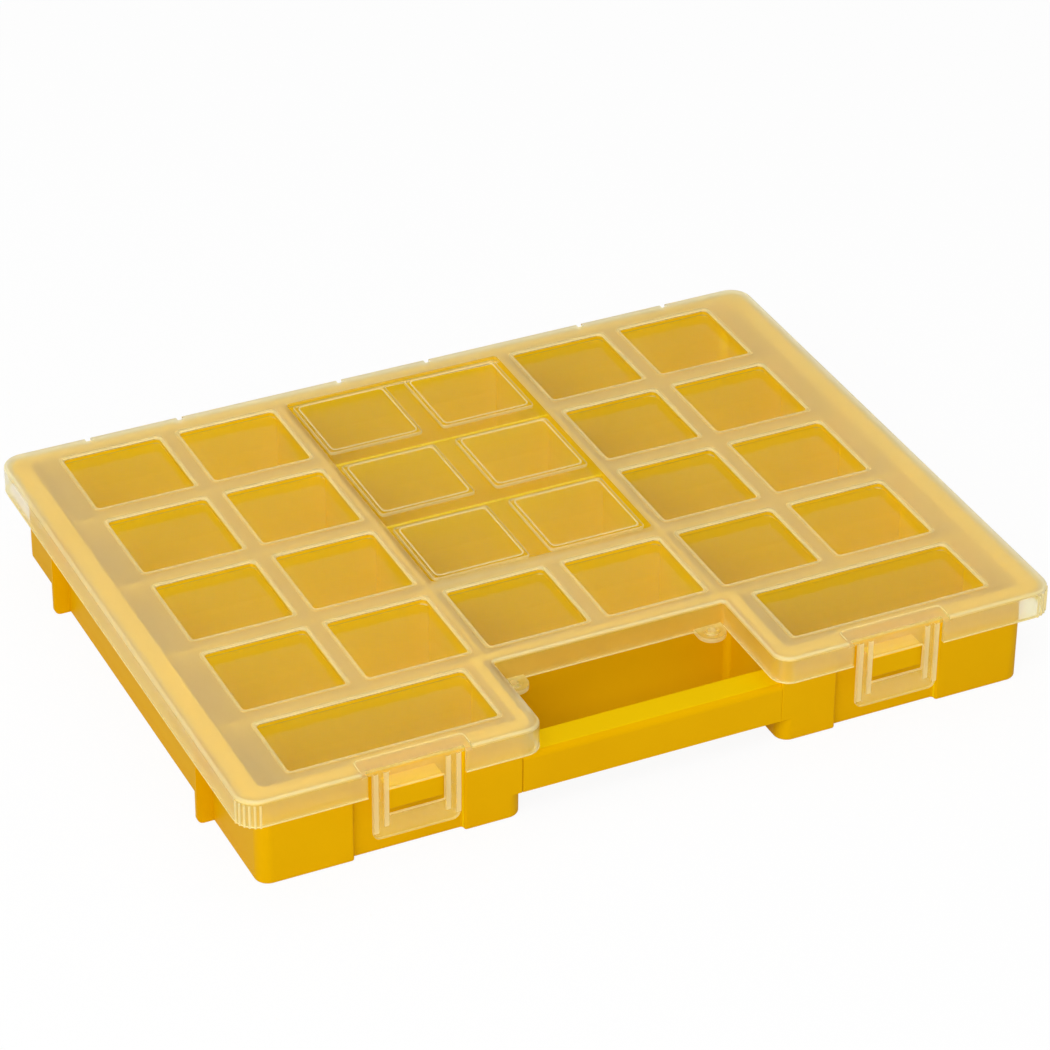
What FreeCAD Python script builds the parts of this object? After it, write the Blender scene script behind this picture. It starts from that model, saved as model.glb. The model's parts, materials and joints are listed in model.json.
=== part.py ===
import FreeCAD
import Part
import Sketcher

import math
import os

# Driving dimensions in millimetres: one cell of the sheet each.
SIZES = {
    # Lid shell: outside size, skirt and the cut-out above the carry handle.
    "lid_width": 370.0,
    "lid_depth": 285.0,
    "box_height": 48.0,
    "skirt_height": 12.7,
    "skirt_wall": 1.8,
    "lid_plate": 1.8,
    "lid_corner": 10.0,
    "lid_edge_round": 1.5,
    "lid_notch_width": 106.6,
    "lid_notch_depth": 50.3,
    "lid_notch_mouth_round": 8.0,
    "lid_notch_inner_round": 1.2,
    # Windows: sunk pans in the lid, on a grid of columns and rows.
    "side_margin": 25.65,
    "rear_margin": 13.0,
    "notch_margin": 10.5,
    "column_bar": 9.5,
    "row_bar": 11.2,
    "wide_outer_margin": 25.95,
    "wide_inner_margin": 14.25,
    "wide_front_margin": 14.4,
    "wide_bar": 11.0,
    "window_sink": 2.4,
    "window_corner": 2.2,
    "window_rim_round": 0.9,
    "pan_wall": 1.2,
    "pan_floor": 1.3,
    # Polished centre panel with raised plateaus.
    "panel_margin": 2.2,
    "panel_sink": 1.7,
    "panel_thickness": 1.4,
    "panel_corner": 2.0,
    "plateau_height": 1.3,
    "plateau_round": 0.5,
    # Tray: floor, walls, front steps, rim and side ribs.
    "tray_side_inset": 9.6,
    "tray_front_inset": 8.0,
    "tray_rear_inset": 6.0,
    "tray_wall": 2.0,
    "tray_floor": 2.0,
    "tray_corner": 6.0,
    "foot_round_margin": 0.2,
    "tray_notch_side_inset": 6.1,
    "tray_notch_back_inset": 5.2,
    "tray_notch_corner": 3.0,
    "tray_notch_mouth_round": 6.0,
    "handle_joint_round": 0.8,
    "recess_margin": 2.75,
    "recess_depth": 2.6,
    "recess_flat": 0.2,
    "rim_thickness": 2.2,
    "rim_gap": 2.0,
    "lid_seat_gap": 0.3,
    "side_rib_thickness": 2.0,
    "side_rib_gap": 0.8,
    "side_rib_inset": 58.5,
    "side_rib_round": 3.0,
    # Partition walls.
    "partition_thickness": 1.5,
    "partition_gap": 0.5,
    # Carry handle.
    "handle_depth": 15.0,
    "handle_height": 18.2,
    "handle_drop": 5.8,
    "handle_wall": 2.2,
    "handle_front_round": 3.0,
    "handle_back_round": 1.5,
    "handle_cells": 12,
    "handle_rib": 1.2,
    # Hinge at the rear: tongues of the lid between slits, rods and lugs.
    "tongue_width": 40.5,
    "tongue_inset": 63.7,
    "slit_width": 3.0,
    "slit_depth": 3.4,
    "hinge_rise": 1.7,
    "barrel_radius": 2.3,
    "rod_radius": 1.2,
    "rod_clearance": 0.06,
    "lug_thickness": 2.0,
    "lug_half_height": 2.4,
    "lug_round": 1.7,
    "lug_front_gap": 0.2,
    # Latches, their seats in the lid and their keepers on the tray.
    "latch_offset": 9.35,
    "latch_width": 38.0,
    "latch_length": 32.8,
    "latch_plate": 1.4,
    "latch_rib_height": 0.9,
    "latch_rib_width": 1.9,
    "latch_rib_gap": 0.05,
    "latch_inner_rib_rise": 6.4,
    "latch_outer_rib_rise": 3.8,
    "latch_corner": 3.2,
    "latch_window_width": 25.0,
    "latch_window_drop": 9.6,
    "latch_window_height": 12.4,
    "latch_window_corner": 0.6,
    "roll_radius": 1.2,
    "roll_drop": 2.0,
    "roll_gap": 0.3,
    "latch_cutout_margin": 2.5,
    "latch_pocket_margin": 2.5,
    "latch_pocket_depth": 9.5,
    "latch_pocket_drop": 1.4,
    "latch_pad_margin": 1.5,
    "latch_pad_thickness": 1.2,
    "latch_pad_depth": 8.9,
    "keeper_slack": 0.5,
    "keeper_gap": 0.3,
    "keeper_chamfer": 1.2,
    # Eyelets beside the handle cut-out.
    "eyelet_half_width": 6.3,
    "eyelet_reach": 10.2,
    "eyelet_flat": 0.2,
    "eyelet_thickness": 2.0,
    "eyelet_hole_radius": 1.75,
    "eyelet_hole_reach": 4.4,
    "eyelet_collar_radius": 3.4,
    "eyelet_collar_height": 0.6,
}

COLUMNS_PER_SIDE = 3
ROWS = 4
PANEL_ROWS = 3
SIDES = (("left", -1), ("right", 1))

# Two places closer than this, in millimetres, count as the same place.
SAME_PLACE = 0.001

doc = FreeCAD.newDocument("CompartmentBox")
sheet = doc.addObject("Spreadsheet::Sheet", "Sizes")
for row, (alias, number) in enumerate(SIZES.items(), start=1):
    sheet.set(f"A{row}", alias.replace("_", " "))
    sheet.set(f"B{row}", str(number))
    sheet.setAlias(f"B{row}", alias)
doc.recompute()


class Size:
    """A length that keeps its number and the sheet expression that gives it."""

    def __init__(self, number, text):
        self.number = number
        self.text = text

    def __add__(self, other):
        other = as_size(other)
        return Size(self.number + other.number, f"({self.text} + {other.text})")

    def __sub__(self, other):
        other = as_size(other)
        return Size(self.number - other.number, f"({self.text} - {other.text})")

    def __mul__(self, other):
        other = as_size(other)
        return Size(self.number * other.number, f"({self.text} * {other.text})")

    def __truediv__(self, other):
        other = as_size(other)
        return Size(self.number / other.number, f"({self.text} / {other.text})")

    def __neg__(self):
        return self * -1


def as_size(value):
    if isinstance(value, Size):
        return value
    return Size(float(value), repr(float(value)))


def size(name):
    """The size kept under this name in the sheet."""
    return Size(float(sheet.get(name)), f"Sizes.{name}")


def add_body(label):
    body = doc.addObject("PartDesign::Body", label)
    body.Label = label
    body.AllowCompound = True
    return body


def add_sketch(body, name, role, offset):
    """Empty sketch on one of the body's own origin planes, moved along its normal."""
    plane = next(item for item in body.Origin.OriginFeatures if item.Role == role)
    sketch = body.newObject("Sketcher::SketchObject", name)
    sketch.AttachmentSupport = (plane, [""])
    sketch.MapMode = "FlatFace"
    sketch.setExpression("AttachmentOffset.Base.z", as_size(offset).text)
    return sketch


def add_constraints(sketch, constraints):
    """Add constraints; each is a tuple whose last item may be the size that drives it."""
    first = sketch.ConstraintCount
    plain = []
    driven = []
    for index, items in enumerate(constraints):
        if isinstance(items[-1], Size):
            driven.append((first + index, items[-1]))
            items = items[:-1] + (items[-1].number,)
        plain.append(Sketcher.Constraint(*items))
    sketch.addConstraint(plain)
    for index, value in driven:
        sketch.setExpression(f"Constraints[{index}]", value.text)


def add_loop(sketch, corners):
    """Closed loop of level and upright lines; a corner is (x, y, radius or None)."""
    count = len(corners)
    points = [FreeCAD.Vector(x.number, y.number, 0) for x, y, _ in corners]
    ways = [(points[(i + 1) % count] - points[i]).normalize() for i in range(count)]
    radii = [0.0 if radius is None else radius.number for _, _, radius in corners]
    first = sketch.GeometryCount
    shapes = []
    for i in range(count):
        after = (i + 1) % count
        start = points[i] + ways[i] * radii[i]
        end = points[after] - ways[i] * radii[after]
        shapes.append(Part.LineSegment(start, end))
    constraints = []
    for i in range(count):
        x, y, _ = corners[i]
        line = first + i
        if abs(ways[i].y) < abs(ways[i].x):
            constraints.append(("Horizontal", line))
            constraints.append(("DistanceY", -1, 1, line, 1, y))
        else:
            constraints.append(("Vertical", line))
            constraints.append(("DistanceX", -1, 1, line, 1, x))
    for i in range(count):
        before = (i - 1) % count
        radius = corners[i][2]
        if radius is None:
            constraints.append(("Coincident", first + before, 2, first + i, 1))
            continue
        start = points[i] - ways[before] * radii[i]
        end = points[i] + ways[i] * radii[i]
        centre = start + ways[i] * radii[i]
        turns_left = ways[before].cross(ways[i]).z > 0
        low, high = (start, end) if turns_left else (end, start)
        angles = [math.atan2((p - centre).y, (p - centre).x) for p in (low, high)]
        arc = first + len(shapes)
        circle = Part.Circle(centre, FreeCAD.Vector(0, 0, 1), radii[i])
        shapes.append(Part.ArcOfCircle(circle, angles[0], angles[1]))
        at_start, at_end = (1, 2) if turns_left else (2, 1)
        constraints.append(("Tangent", first + before, 2, arc, at_start))
        constraints.append(("Tangent", arc, at_end, first + i, 1))
        constraints.append(("Radius", arc, radius))
    sketch.addGeometry(shapes, False)
    add_constraints(sketch, constraints)


def add_rectangle(sketch, x_low, x_high, y_low, y_high, radius=None):
    corners = [
        (x_low, y_low, radius),
        (x_high, y_low, radius),
        (x_high, y_high, radius),
        (x_low, y_high, radius),
    ]
    add_loop(sketch, corners)


def add_circle(sketch, x, y, radius):
    centre = FreeCAD.Vector(x.number, y.number, 0)
    circle = sketch.addGeometry(Part.Circle(centre, FreeCAD.Vector(0, 0, 1), radius.number), False)
    add_constraints(sketch, [
        ("DistanceX", -1, 1, circle, 3, x),
        ("DistanceY", -1, 1, circle, 3, y),
        ("Radius", circle, radius),
    ])


def add_polygon(sketch, points):
    """Closed polygon of straight lines through the given (x, y) points."""
    count = len(points)
    first = sketch.GeometryCount
    places = [FreeCAD.Vector(x.number, y.number, 0) for x, y in points]
    lines = [Part.LineSegment(places[i], places[(i + 1) % count]) for i in range(count)]
    sketch.addGeometry(lines, False)
    constraints = []
    for i, (x, y) in enumerate(points):
        constraints.append(("Coincident", first + (i - 1) % count, 2, first + i, 1))
        constraints.append(("DistanceX", -1, 1, first + i, 1, x))
        constraints.append(("DistanceY", -1, 1, first + i, 1, y))
    add_constraints(sketch, constraints)


def extrude(body, kind, sketch, length, backwards=False):
    """Pad or Pocket of a sketch; stops if the body's volume did not change the right way."""
    before = body.Shape.Volume if body.Tip else 0.0
    feature = body.newObject(f"PartDesign::{kind}", f"{sketch.Name}_{kind}")
    feature.Profile = sketch
    feature.setExpression("Length", as_size(length).text)
    feature.Reversed = backwards
    feature.Refine = False
    doc.recompute()
    change = body.Shape.Volume - before
    if (kind == "Pad") != (change > 0):
        raise RuntimeError(f"{feature.Name} changed the volume by {change:.3f}")
    return feature


def round_edges(body, name, radius, wanted):
    """Fillet of the edges of the body's tip that the test picks."""
    base = body.Tip
    edges = [f"Edge{i}" for i, edge in enumerate(base.Shape.Edges, start=1) if wanted(edge)]
    if not edges:
        raise RuntimeError(f"{name} found no edges")
    feature = body.newObject("PartDesign::Fillet", name)
    feature.Base = (base, edges)
    feature.setExpression("Radius", radius.text)
    doc.recompute()
    return feature


def lies_at_height(edge, height):
    box = edge.BoundBox
    return abs(box.ZMin - height.number) < SAME_PLACE and abs(box.ZMax - height.number) < SAME_PLACE


def add_box(label, low, high):
    """Plain plate between two corners given as sizes."""
    box = doc.addObject("Part::Box", label)
    box.Label = label
    for axis, side, a, b in zip("xyz", ("Length", "Width", "Height"), low, high):
        box.setExpression(side, (b - a).text)
        box.setExpression(f"Placement.Base.{axis}", a.text)
    return box


# Places that several pieces share.
lid_side = size("lid_width") / 2
lid_front = -(size("lid_depth") / 2)
lid_rear = size("lid_depth") / 2
lid_top = size("box_height")
lid_under = lid_top - size("lid_plate")
skirt_bottom = lid_top - size("skirt_height")
lid_notch_side = size("lid_notch_width") / 2
lid_notch_back = lid_front + size("lid_notch_depth")
tray_side = lid_side - size("tray_side_inset")
tray_front = lid_front + size("tray_front_inset")
tray_rear = lid_rear - size("tray_rear_inset")
tray_notch_side = lid_notch_side + size("tray_notch_side_inset")
tray_notch_back = lid_notch_back + size("tray_notch_back_inset")
rim_top = lid_under - size("lid_seat_gap")
recess_front = tray_front + size("recess_depth")
recess_corner = (size("recess_depth") - size("recess_flat")) / 2
handle_bottom = skirt_bottom - size("handle_drop") - size("handle_height")
hinge_rear = lid_rear - size("barrel_radius")
hinge_height = skirt_bottom + size("hinge_rise")
tongue_spread = lid_side - size("tongue_inset")
hinge_places = {
    "left": -tongue_spread,
    "centre": tongue_spread * 0,
    "right": tongue_spread,
}

# Grid of the windows: the rows fill the lid from its rear edge to the handle cut-out.
column_pitch = (size("lid_width") - size("side_margin") * 2 + size("column_bar")) / (COLUMNS_PER_SIDE * 2)
rows_depth = lid_rear - size("rear_margin") - lid_notch_back - size("notch_margin")
row_pitch = (rows_depth + size("row_bar")) / ROWS
window_width = column_pitch - size("column_bar")
window_depth = row_pitch - size("row_bar")
first_row = lid_rear - size("rear_margin") - window_depth / 2
column_wall_place = column_pitch

# Latches: the middle of each, its roll, its window and the gap in the skirt that it hangs in.
latch_side = (lid_notch_side + lid_side) / 2 - size("latch_offset")
latch_gap_width = size("latch_width") + size("latch_cutout_margin") * 2
recess_width = latch_gap_width + size("recess_margin") * 2
roll_height = lid_top - size("roll_drop")
latch_bottom = roll_height - size("latch_length")
latch_window_top = roll_height - size("latch_window_drop")
latch_window_bottom = latch_window_top - size("latch_window_height")


def row_place(row):
    """Middle of a row of windows, counted from the rear."""
    return first_row - row_pitch * row


def row_wall_place(row):
    """Middle of the partition wall in front of a row."""
    return row_place(row) - row_pitch / 2


def front_outline(side, front, rear, notch_side, notch_back, recess, corner, mouth, inner, step):
    """Outline with the handle cut-out and the two latch recesses in its front edge."""
    recess_in = latch_side - recess_width / 2
    recess_out = latch_side + recess_width / 2
    right = [
        (notch_side, notch_back, inner),
        (notch_side, front, mouth),
        (recess_in, front, step),
        (recess_in, recess, step),
        (recess_out, recess, step),
        (recess_out, front, step),
        (side, front, corner),
        (side, rear, corner),
    ]
    left = [(-x, y, radius) for x, y, radius in reversed(right)]
    return right + left


def make_tray():
    """Floor, drawn walls with their front steps, rim and side ribs as one moulding."""
    tray = add_body("base_tray")
    step = recess_corner
    places = (tray_side, tray_front, tray_rear, tray_notch_side, tray_notch_back, recess_front)
    corner = size("tray_corner")
    inner = size("tray_notch_corner")
    foot = add_sketch(tray, "tray_foot", "XY_Plane", 0)
    add_loop(foot, front_outline(*places, corner, size("tray_notch_mouth_round"), inner, step))
    extrude(tray, "Pad", foot, handle_bottom)
    foot_round = step - size("foot_round_margin")
    round_edges(tray, "tray_foot_edge", foot_round, lambda e: lies_at_height(e, as_size(0)))
    upper = add_sketch(tray, "tray_upper", "XY_Plane", handle_bottom)
    add_loop(upper, front_outline(*places, corner, size("handle_joint_round"), inner, step))
    extrude(tray, "Pad", upper, rim_top - handle_bottom)
    gap = size("skirt_wall") + size("rim_gap")
    rim_corner = size("lid_corner") - gap
    rim = add_sketch(tray, "tray_rim", "XY_Plane", rim_top - size("rim_thickness"))
    rim_places = (lid_side - gap, lid_front + gap, lid_rear - gap, lid_notch_side + gap,
                  lid_notch_back + gap, recess_front)
    add_loop(rim, front_outline(*rim_places, rim_corner, size("tray_corner"), step, step))
    extrude(tray, "Pad", rim, size("rim_thickness"))
    wall = size("tray_wall")
    cavity = add_sketch(tray, "tray_inside", "XY_Plane", size("tray_floor"))
    inside = (tray_side - wall, tray_front + wall, tray_rear - wall, tray_notch_side + wall,
              tray_notch_back + wall, recess_front + wall)
    add_loop(cavity, front_outline(*inside, corner - wall, step, step, step))
    extrude(tray, "Pocket", cavity, rim_top - size("tray_floor"), backwards=True)
    ribs = add_sketch(tray, "side_ribs", "XY_Plane", 0)
    half_rib = size("side_rib_thickness") / 2
    reach = lid_side - size("skirt_wall") - size("side_rib_gap")
    for place in (lid_front + size("side_rib_inset"), lid_rear - size("side_rib_inset")):
        add_rectangle(ribs, tray_side - wall / 2, reach, place - half_rib, place + half_rib)
        add_rectangle(ribs, -reach, wall / 2 - tray_side, place - half_rib, place + half_rib)
    extrude(tray, "Pad", ribs, rim_top - size("rim_thickness"))

    def is_rib_toe(edge):
        at_reach = abs(abs(edge.CenterOfMass.x) - reach.number) < SAME_PLACE
        return at_reach and lies_at_height(edge, as_size(0))

    round_edges(tray, "side_rib_toe", size("side_rib_round"), is_rib_toe)
    return tray


def make_partitions():
    """Two column walls and the row walls between them, standing on the tray's floor."""
    half = size("partition_thickness") / 2
    wall = size("tray_wall")
    low = size("tray_floor")
    high = lid_under - size("partition_gap")
    panel_under = lid_top - size("panel_sink") - size("panel_thickness")
    walls = []
    for name, sign in SIDES:
        place = column_wall_place * sign
        walls.append(add_box(
            f"column_wall_{name}",
            (place - half, tray_notch_back + wall, low),
            (place + half, tray_rear - wall, high),
        ))
    for row in range(ROWS):
        place = row_wall_place(row)
        front_row = row == ROWS - 1
        inner = tray_notch_side + wall if front_row else column_wall_place + half
        outer = tray_side - wall
        for name, x_low, x_high in (("left", -outer, -inner), ("right", inner, outer)):
            walls.append(add_box(
                f"row_wall_{name}_{row + 1}",
                (x_low, place - half, low),
                (x_high, place + half, high),
            ))
        if not front_row:
            walls.append(add_box(
                f"row_wall_centre_{row + 1}",
                (half - column_wall_place, place - half, low),
                (column_wall_place - half, place + half, panel_under - size("partition_gap")),
            ))
    return walls


def make_handle():
    """Bar between the two front blocks, open below, with cross ribs inside."""
    handle = add_body("carry_handle")
    back = tray_front + size("handle_depth")
    bottom = handle_bottom
    bar = add_sketch(handle, "handle_bar", "XY_Plane", bottom)
    add_rectangle(bar, -tray_notch_side, tray_notch_side, tray_front, back)
    extrude(handle, "Pad", bar, size("handle_height"))
    top = bottom + size("handle_height")

    def is_long_top_edge(edge, y):
        box = edge.BoundBox
        flat = abs(box.YMax - y.number) < SAME_PLACE and abs(box.YMin - y.number) < SAME_PLACE
        return flat and lies_at_height(edge, top)

    round_edges(handle, "handle_front_edge", size("handle_front_round"),
                lambda e: is_long_top_edge(e, tray_front))
    round_edges(handle, "handle_back_edge", size("handle_back_round"),
                lambda e: is_long_top_edge(e, back))
    wall = size("handle_wall")
    rib = size("handle_rib")
    count = round(size("handle_cells").number)
    cell = (tray_notch_side * 2 - wall * 2 - rib * (count - 1)) / count
    cells = add_sketch(handle, "handle_cells", "XY_Plane", bottom)
    for i in range(count):
        start = wall - tray_notch_side + (cell + rib) * i
        add_rectangle(cells, start, start + cell, tray_front + wall, back - wall)
    extrude(handle, "Pocket", cells, size("handle_height") - wall, backwards=True)
    return handle


def make_hinges():
    """Lugs on the tray's rear wall and the rods that they hold, one set for each tongue."""
    pieces = []
    half_thick = size("lug_thickness") / 2
    slit_place = size("tongue_width") / 2 + size("slit_width") / 2
    for name, middle in hinge_places.items():
        lugs = add_body(f"hinge_lugs_{name}")
        for end, sign in (("a", -1), ("b", 1)):
            start = middle + slit_place * sign - half_thick
            sketch = add_sketch(lugs, f"lug_{name}_{end}", "YZ_Plane", start)
            low = hinge_height - size("lug_half_height")
            high = hinge_height + size("lug_half_height")
            outer = lid_rear - size("lug_front_gap")
            add_loop(sketch, [
                (tray_rear, low, None),
                (outer, low, size("lug_round")),
                (outer, high, size("lug_round")),
                (tray_rear, high, None),
            ])
            extrude(lugs, "Pad", sketch, size("lug_thickness"))
        span = (slit_place + half_thick) * 2
        seat = add_sketch(lugs, f"rod_seat_{name}", "YZ_Plane", middle - span / 2)
        add_circle(seat, hinge_rear, hinge_height, size("rod_radius"))
        extrude(lugs, "Pocket", seat, span, backwards=True)
        pieces.append(lugs)
        rod = doc.addObject("Part::Cylinder", f"hinge_rod_{name}")
        rod.Label = f"hinge_rod_{name}"
        rod.Placement = FreeCAD.Placement(
            FreeCAD.Vector(), FreeCAD.Rotation(FreeCAD.Vector(0, 1, 0), 90))
        rod.setExpression("Radius", size("rod_radius").text)
        rod.setExpression("Height", span.text)
        rod.setExpression("Placement.Base.x", (middle - span / 2).text)
        rod.setExpression("Placement.Base.y", hinge_rear.text)
        rod.setExpression("Placement.Base.z", hinge_height.text)
        pieces.append(rod)
    return pieces


def plain_windows():
    """Middle and half sizes of the sunk windows on the right; each has a twin on the left."""
    half_width = window_width / 2
    half_depth = window_depth / 2
    windows = []
    for row in range(ROWS):
        first_column = 1 if row < PANEL_ROWS else 0
        for column in range(first_column, COLUMNS_PER_SIDE):
            x = column_pitch * (column + 0.5)
            windows.append((x, row_place(row), half_width, half_depth))
    wide_inner = lid_notch_side + size("wide_inner_margin")
    wide_outer = lid_side - size("wide_outer_margin")
    wide_front = lid_front + size("wide_front_margin")
    wide_rear = row_place(ROWS - 1) - half_depth - size("wide_bar")
    wide_place = ((wide_inner + wide_outer) / 2, (wide_front + wide_rear) / 2)
    windows.append(wide_place + ((wide_outer - wide_inner) / 2, (wide_rear - wide_front) / 2))
    return windows


def add_twin_blocks(name, window, margin, radius, low, high):
    """The same rounded block on the left and on the right, between two heights."""
    x, y, half_width, half_depth = window
    block = add_body(name)
    sketch = add_sketch(block, f"{name}_outline", "XY_Plane", low)
    for _, sign in SIDES:
        middle = x * sign
        add_rectangle(sketch, middle - half_width - margin, middle + half_width + margin,
                      y - half_depth - margin, y + half_depth + margin, radius)
    extrude(block, "Pad", sketch, high - low)
    return block


def lid_outline(inset):
    """Outline of the lid with the handle cut-out, moved inwards by an inset."""
    corner = size("lid_corner") - inset
    mouth = size("lid_notch_mouth_round") - inset
    inner = size("lid_notch_inner_round") + inset
    side = lid_notch_side + inset
    right = [
        (side, lid_notch_back + inset, inner),
        (side, lid_front + inset, mouth),
        (lid_side - inset, lid_front + inset, corner),
        (lid_side - inset, lid_rear - inset, corner),
    ]
    left = [(-x, y, radius) for x, y, radius in reversed(right)]
    return right + left


def sink_windows(shell):
    """Shell with its window pans and the polished centre panel with its raised plateaus."""
    wall = size("pan_wall")
    corner = size("window_corner")
    pan_floor = lid_top - size("window_sink")
    pan_under = pan_floor - size("pan_floor")
    field_floor = lid_top - size("panel_sink")
    slab_under = field_floor - size("panel_thickness")
    plateau_top = field_floor + size("plateau_height")
    windows = plain_windows()
    half_width = window_width / 2
    half_depth = window_depth / 2
    plateaus = [
        (column_pitch / 2, row_place(row), half_width, half_depth)
        for row in range(PANEL_ROWS)
    ]
    added = []
    removed = []
    for index, window in enumerate(windows):
        added.append(add_twin_blocks(f"pan_{index}", window, wall, corner + wall, pan_under, lid_under))
        removed.append(add_twin_blocks(f"window_{index}", window, as_size(0), corner, pan_floor, lid_top))
    margin = size("panel_margin")
    side = column_pitch / 2 + half_width + margin
    rear = row_place(0) + half_depth + margin
    front = row_place(PANEL_ROWS - 1) - half_depth - margin
    for name, grow, low, high, blocks in (
        ("panel_slab", wall, slab_under, lid_under, added),
        ("panel_field", as_size(0), field_floor, lid_top, removed),
    ):
        block = add_body(name)
        sketch = add_sketch(block, f"{name}_outline", "XY_Plane", low)
        add_rectangle(sketch, -side - grow, side + grow, front - grow, rear + grow,
                      size("panel_corner") + grow)
        extrude(block, "Pad", sketch, high - low)
        blocks.append(block)
    raised = [
        add_twin_blocks(f"plateau_{index}", window, as_size(0), corner, field_floor, plateau_top)
        for index, window in enumerate(plateaus)
    ]
    thick = doc.addObject("Part::MultiFuse", "lid_with_pans")
    thick.Shapes = [shell] + added
    cuts = doc.addObject("Part::MultiFuse", "window_cuts")
    cuts.Shapes = removed
    sunk = doc.addObject("Part::Cut", "lid_with_windows")
    sunk.Base = thick
    sunk.Tool = cuts
    whole = doc.addObject("Part::MultiFuse", "lid_with_plateaus")
    whole.Shapes = [sunk] + raised
    doc.recompute()
    rims = [(lid_top, window, size("window_rim_round")) for window in windows]
    rims += [(plateau_top, window, size("plateau_round")) for window in plateaus]
    lid = doc.addObject("Part::Fillet", "lid")
    lid.Label = "lid"
    lid.Base = whole
    edges = []
    for index, edge in enumerate(whole.Shape.Edges, start=1):
        middle = edge.CenterOfMass
        for height, (x, y, _, half), radius in rims:
            away = math.hypot(abs(middle.x) - x.number, middle.y - (y + half).number)
            if away < SAME_PLACE and lies_at_height(edge, height):
                edges.append((index, radius.number, radius.number))
    lid.Edges = edges
    doc.recompute()
    return lid


def seat_latches(lid):
    """Sloped finger pockets in the front edge and the gaps in the skirt for the latches."""
    roll_back = lid_front + size("latch_rib_height") + size("roll_radius") * 2 + size("roll_gap")
    beyond = lid_front - size("roll_radius")
    above = lid_top + size("lid_plate")
    back = lid_front + size("latch_pocket_depth")
    slope = size("latch_pocket_drop") / (back - roll_back)
    beyond_height = lid_top - slope * (back - beyond)
    for name, sign in SIDES:
        middle = latch_side * sign
        half_pad = latch_gap_width / 2 + size("latch_pad_margin")
        pad_bottom = lid_under - size("latch_pad_thickness")
        pad_back = lid_front + size("latch_pad_depth")
        half_pocket = latch_gap_width / 2 + size("latch_pocket_margin")
        under = add_sketch(lid, f"latch_pad_{name}", "XY_Plane", pad_bottom)
        add_rectangle(under, middle - half_pad, middle + half_pad, roll_back, pad_back)
        extrude(lid, "Pad", under, lid_under - pad_bottom)
        pocket = add_sketch(lid, f"latch_pocket_{name}", "YZ_Plane", middle - half_pocket)
        add_polygon(pocket, [
            (back, lid_top),
            (beyond, beyond_height),
            (beyond, above),
            (back, above),
        ])
        extrude(lid, "Pocket", pocket, half_pocket * 2, backwards=True)
        gap = add_sketch(lid, f"latch_gap_{name}", "XY_Plane", lid_top)
        half_gap = latch_gap_width / 2
        add_rectangle(gap, middle - half_gap, middle + half_gap, beyond, roll_back)
        extrude(lid, "Pocket", gap, size("skirt_height"))


def hinge_tongues(lid):
    """Slits in the rear skirt, with a bored barrel under each tongue between them."""
    half_tongue = size("tongue_width") / 2
    slits = add_sketch(lid, "hinge_slits", "XY_Plane", lid_top)
    for middle in hinge_places.values():
        for sign in (-1, 1):
            near = middle + half_tongue * sign
            far = middle + (half_tongue + size("slit_width")) * sign
            low, high = (near, far) if sign > 0 else (far, near)
            add_rectangle(slits, low, high, lid_rear - size("slit_depth"), lid_rear + size("slit_depth"))
    extrude(lid, "Pocket", slits, size("skirt_height"))
    for name, middle in hinge_places.items():
        barrel = add_sketch(lid, f"barrel_{name}", "YZ_Plane", middle - half_tongue)
        add_circle(barrel, hinge_rear, hinge_height, size("barrel_radius"))
        extrude(lid, "Pad", barrel, size("tongue_width"))
        bore = add_sketch(lid, f"barrel_bore_{name}", "YZ_Plane", middle - half_tongue)
        add_circle(bore, hinge_rear, hinge_height, size("rod_radius") + size("rod_clearance"))
        extrude(lid, "Pocket", bore, size("tongue_width"), backwards=True)


def make_lid():
    """Skirted plate with its hinge tongues, latch seats, windows and centre panel."""
    shell = add_body("lid_shell")
    outline = add_sketch(shell, "lid_outline", "XY_Plane", skirt_bottom)
    add_loop(outline, lid_outline(as_size(0)))
    extrude(shell, "Pad", outline, size("skirt_height"))
    round_edges(shell, "lid_edge", size("lid_edge_round"), lambda e: lies_at_height(e, lid_top))
    inside = add_sketch(shell, "skirt_inside", "XY_Plane", skirt_bottom)
    add_loop(inside, lid_outline(size("skirt_wall")))
    extrude(shell, "Pocket", inside, size("skirt_height") - size("lid_plate"), backwards=True)
    hinge_tongues(shell)
    seat_latches(shell)
    return sink_windows(shell)


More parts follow.
